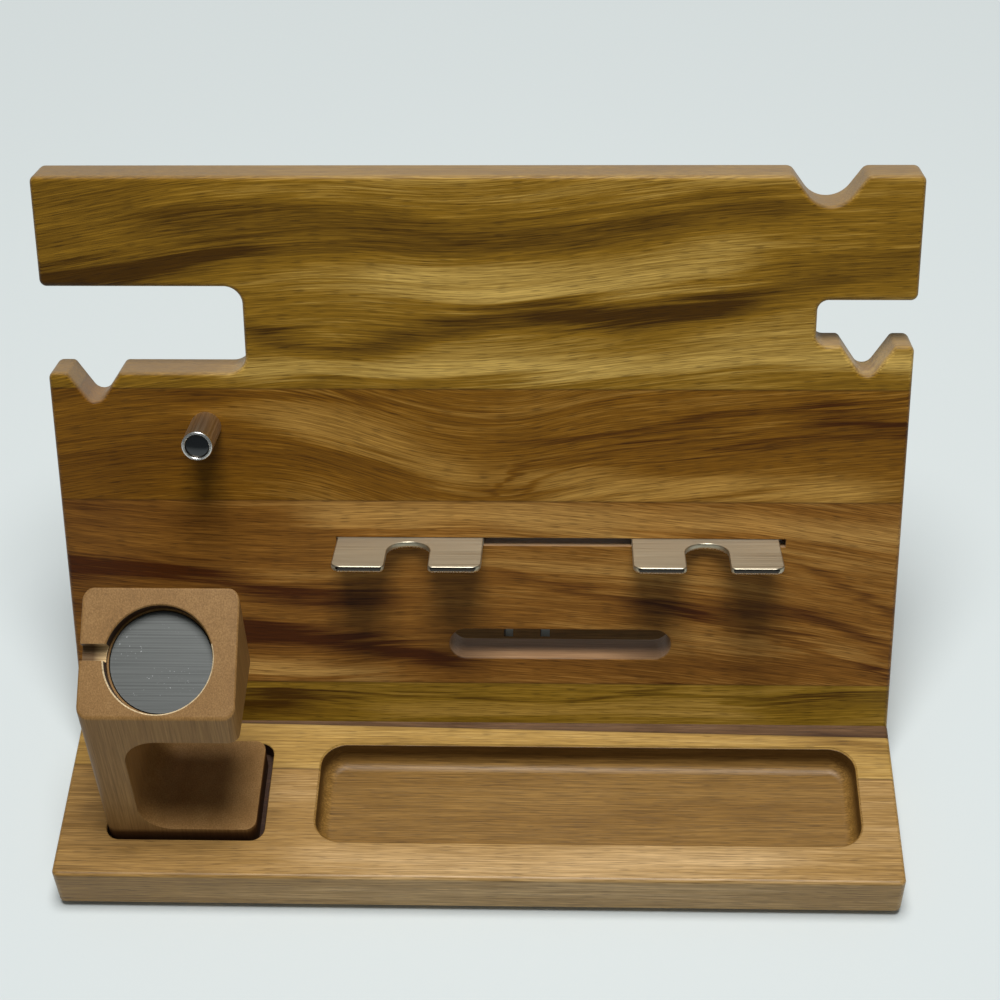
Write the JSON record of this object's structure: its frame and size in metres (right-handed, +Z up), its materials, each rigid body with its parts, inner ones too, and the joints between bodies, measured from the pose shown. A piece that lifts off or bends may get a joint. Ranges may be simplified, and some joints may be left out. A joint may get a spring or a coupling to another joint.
{
  "type": "bedside phone and watch docking stand",
  "caption": "Wooden bedside organiser: base with pen tray, leaning back board with hanging arms and peg, sliding metal phone brackets, and a lift-off watch stand.",
  "frame": {"origin": "middle of the stand's overall box, on the surface that its rubber feet rest on", "axes": "+Z up, +X to the right of someone facing the stand, +Y from the tray towards the back board"},
  "size_m": [0.24, 0.1324, 0.1678],
  "materials": {
    "base_wood": "satin lacquered laminated hardwood",
    "board_wood": "satin lacquered laminated hardwood",
    "stand_wood": "satin fine-grained hardwood",
    "bracket_steel": "satin sheet with bright bevelled edges",
    "peg_steel": "turned and brushed",
    "peg_cap_plastic": "glossy black",
    "screw_steel": "zinc plated",
    "disc_steel": "straight brushed, lightly scratched",
    "foot_rubber": "matte"
  },
  "bodies": {
    "stand": {"base_board": "base_wood", "back_board": "board_wood", "rubber_feet": "foot_rubber", "board_screws": "screw_steel", "hook_peg": "peg_steel", "hook_peg_cap": "peg_cap_plastic", "hook_peg_screw": "screw_steel"},
    "left_bracket": {"phone_bracket_left": "bracket_steel"},
    "right_bracket": {"phone_bracket_right": "bracket_steel"},
    "watch_holder": {"watch_stand": "stand_wood", "watch_disc": "disc_steel"}
  },
  "joints": [
    {"name": "left_bracket_slide", "type": "slide", "parent": "stand", "child": "left_bracket", "axis": [1, 0, 0], "range_m": [0, 0.021]},
    {"name": "right_bracket_slide", "type": "slide", "parent": "stand", "child": "right_bracket", "axis": [1, 0, 0], "range_m": [-0.021, 0.0016]},
    {"name": "watch_stand_lift", "type": "slide", "parent": "stand", "child": "watch_holder", "axis": [0, 0, 1], "range_m": [0, 0.05]}
  ]
}
